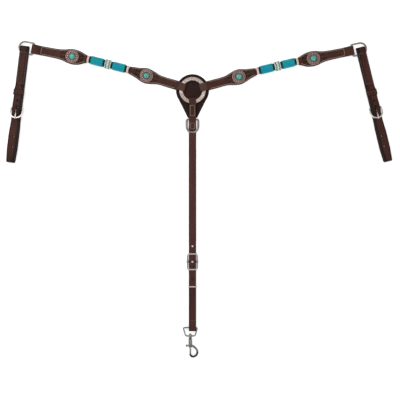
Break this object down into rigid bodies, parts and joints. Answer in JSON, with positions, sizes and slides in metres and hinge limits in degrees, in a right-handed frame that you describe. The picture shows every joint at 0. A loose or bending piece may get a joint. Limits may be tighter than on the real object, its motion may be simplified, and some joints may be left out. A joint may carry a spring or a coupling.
{
  "type": "breastplate",
  "caption": "Western horse breastplate: shaped leather shoulder straps with conchos and bead rolls on a ring, buckled tug loops, and a tie-down strap with a bolt snap.",
  "frame": {"origin": "middle of the ground that the laid-out collar covers", "axes": "+X to the right tug as seen from the front, +Y towards the horse's neck, +Z out of the show face"},
  "size_m": [1.0622, 0.8714, 0.0255],
  "materials": {
    "leather": "dark oiled chocolate leather, creased and burnished edges",
    "dark_leather": "darker matt leather",
    "nickel": "polished nickel plate",
    "chrome": "bright chrome",
    "copper": "antiqued copper and silver",
    "turquoise_stone": "polished stone",
    "turquoise_wrap": "dyed rawhide wrap, satin",
    "cream_rawhide": "cream rawhide",
    "braid": "silver and dark green rawhide braid"
  },
  "bodies": {
    "ring": {"centre_ring": "nickel"},
    "left_shoulder": {"left_inner_strap": "leather", "left_inner_liner": "dark_leather", "left_inner_concho": "copper", "left_inner_stone": "turquoise_stone", "left_bead_core": "dark_leather", "left_spacer_inner": "cream_rawhide", "left_washer_1": "dark_leather", "left_barrel_bead_inner": "turquoise_wrap", "left_washer_2": "dark_leather", "left_braided_knot": "braid", "left_washer_3": "dark_leather", "left_barrel_bead_outer": "turquoise_wrap", "left_washer_4": "dark_leather", "left_spacer_outer": "cream_rawhide", "left_outer_strap": "leather", "left_outer_liner": "dark_leather", "left_outer_concho": "copper", "left_outer_stone": "turquoise_stone"},
    "left_dee": {"left_side_dee": "nickel"},
    "left_tug": {"left_tug_strap": "leather"},
    "left_keeper": {"left_tug_keeper": "dark_leather"},
    "left_buckle": {"left_tug_buckle": "nickel"},
    "left_tongue": {"left_tug_tongue": "nickel"},
    "right_shoulder": {"right_inner_strap": "leather", "right_inner_liner": "dark_leather", "right_inner_concho": "copper", "right_inner_stone": "turquoise_stone", "right_bead_core": "dark_leather", "right_spacer_inner": "cream_rawhide", "right_washer_1": "dark_leather", "right_barrel_bead_inner": "turquoise_wrap", "right_washer_2": "dark_leather", "right_braided_knot": "braid", "right_washer_3": "dark_leather", "right_barrel_bead_outer": "turquoise_wrap", "right_washer_4": "dark_leather", "right_spacer_outer": "cream_rawhide", "right_outer_strap": "leather", "right_outer_liner": "dark_leather", "right_outer_concho": "copper", "right_outer_stone": "turquoise_stone"},
    "right_dee": {"right_side_dee": "nickel"},
    "right_tug": {"right_tug_strap": "leather"},
    "right_keeper": {"right_tug_keeper": "dark_leather"},
    "right_buckle": {"right_tug_buckle": "nickel"},
    "right_tongue": {"right_tug_tongue": "nickel"},
    "hanger": {"ring_safe": "dark_leather", "hanger_strap": "leather", "tie_down_strap": "leather", "lower_loop_strap": "dark_leather", "conway_buckle": "nickel"},
    "centre_dee": {"centre_dee": "nickel"},
    "metal_keeper": {"metal_keeper": "nickel"},
    "snap_eye": {"snap_eye": "chrome"},
    "snap": {"snap_body": "chrome"},
    "bolt": {"snap_bolt": "chrome", "snap_thumb_knob": "chrome"}
  },
  "joints": [
    {"name": "left_shoulder_swing", "type": "hinge", "parent": "ring", "child": "left_shoulder", "pos_m": [-0.01862, 0.29901, 0.0078], "axis": [0, 0, -1], "range_deg": [-30, 40]},
    {"name": "left_dee_tilt", "type": "hinge", "parent": "left_shoulder", "child": "left_dee", "pos_m": [-0.45686, 0.41297, 0.0052], "axis": [0.1891, 0.982, 0], "range_deg": [-45, 60]},
    {"name": "left_tug_swing", "type": "hinge", "parent": "left_dee", "child": "left_tug", "pos_m": [-0.47993, 0.41741, 0.0052], "axis": [0, 0, -1], "range_deg": [-5, 40]},
    {"name": "left_keeper_slide", "type": "slide", "parent": "left_tug", "child": "left_keeper", "axis": [-0.1219, -0.9925, 0], "range_m": [-0.03, 0.01]},
    {"name": "left_buckle_tilt", "type": "hinge", "parent": "left_tug", "child": "left_buckle", "pos_m": [-0.50029, 0.25166, 0.0078], "axis": [-0.9925, 0.1219, 0], "range_deg": [0, 12]},
    {"name": "left_tongue_lift", "type": "hinge", "parent": "left_buckle", "child": "left_tongue", "pos_m": [-0.50029, 0.25166, 0.0078], "axis": [-0.9925, 0.1219, 0], "range_deg": [0, 8]},
    {"name": "right_shoulder_swing", "type": "hinge", "parent": "ring", "child": "right_shoulder", "pos_m": [-0.01862, 0.29901, 0.0078], "axis": [0, 0, 1], "range_deg": [-30, 40]},
    {"name": "right_dee_tilt", "type": "hinge", "parent": "right_shoulder", "child": "right_dee", "pos_m": [0.42096, 0.40894, 0.0052], "axis": [0.2011, -0.9796, 0], "range_deg": [-45, 60]},
    {"name": "right_tug_swing", "type": "hinge", "parent": "right_dee", "child": "right_tug", "pos_m": [0.44398, 0.41366, 0.0052], "axis": [0, 0, 1], "range_deg": [-5, 40]},
    {"name": "right_keeper_slide", "type": "slide", "parent": "right_tug", "child": "right_keeper", "axis": [0.2351, -0.972, 0], "range_m": [-0.03, 0.01]},
    {"name": "right_buckle_tilt", "type": "hinge", "parent": "right_tug", "child": "right_buckle", "pos_m": [0.48325, 0.25135, 0.0078], "axis": [-0.972, -0.2351, 0], "range_deg": [0, 12]},
    {"name": "right_tongue_lift", "type": "hinge", "parent": "right_buckle", "child": "right_tongue", "pos_m": [0.48325, 0.25135, 0.0078], "axis": [-0.972, -0.2351, 0], "range_deg": [0, 8]},
    {"name": "hanger_swing", "type": "hinge", "parent": "ring", "child": "hanger", "pos_m": [-0.01862, 0.29901, 0.0078], "axis": [0, 0, 1], "range_deg": [-15, 15]},
    {"name": "centre_dee_tilt", "type": "hinge", "parent": "hanger", "child": "centre_dee", "pos_m": [-0.01862, 0.21871, 0.0049], "axis": [-1, 0, 0], "range_deg": [0, 110]},
    {"name": "metal_keeper_slide", "type": "slide", "parent": "hanger", "child": "metal_keeper", "axis": [0, -1, 0], "range_m": [-0.03, 0.085]},
    {"name": "snap_eye_tilt", "type": "hinge", "parent": "hanger", "child": "snap_eye", "pos_m": [-0.02462, -0.35349, 0.0067], "axis": [-1, 0, 0], "range_deg": [-60, 60]},
    {"name": "snap_swivel", "type": "hinge", "parent": "snap_eye", "child": "snap", "pos_m": [-0.02462, -0.38099, 0.0067], "axis": [0, -1, 0], "continuous": true},
    {"name": "bolt_slide", "type": "slide", "parent": "snap", "child": "bolt", "axis": [0, 1, 0], "range_m": [0, 0.009], "stiffness_N_per_m": 200, "springref_m": -0.008}
  ]
}
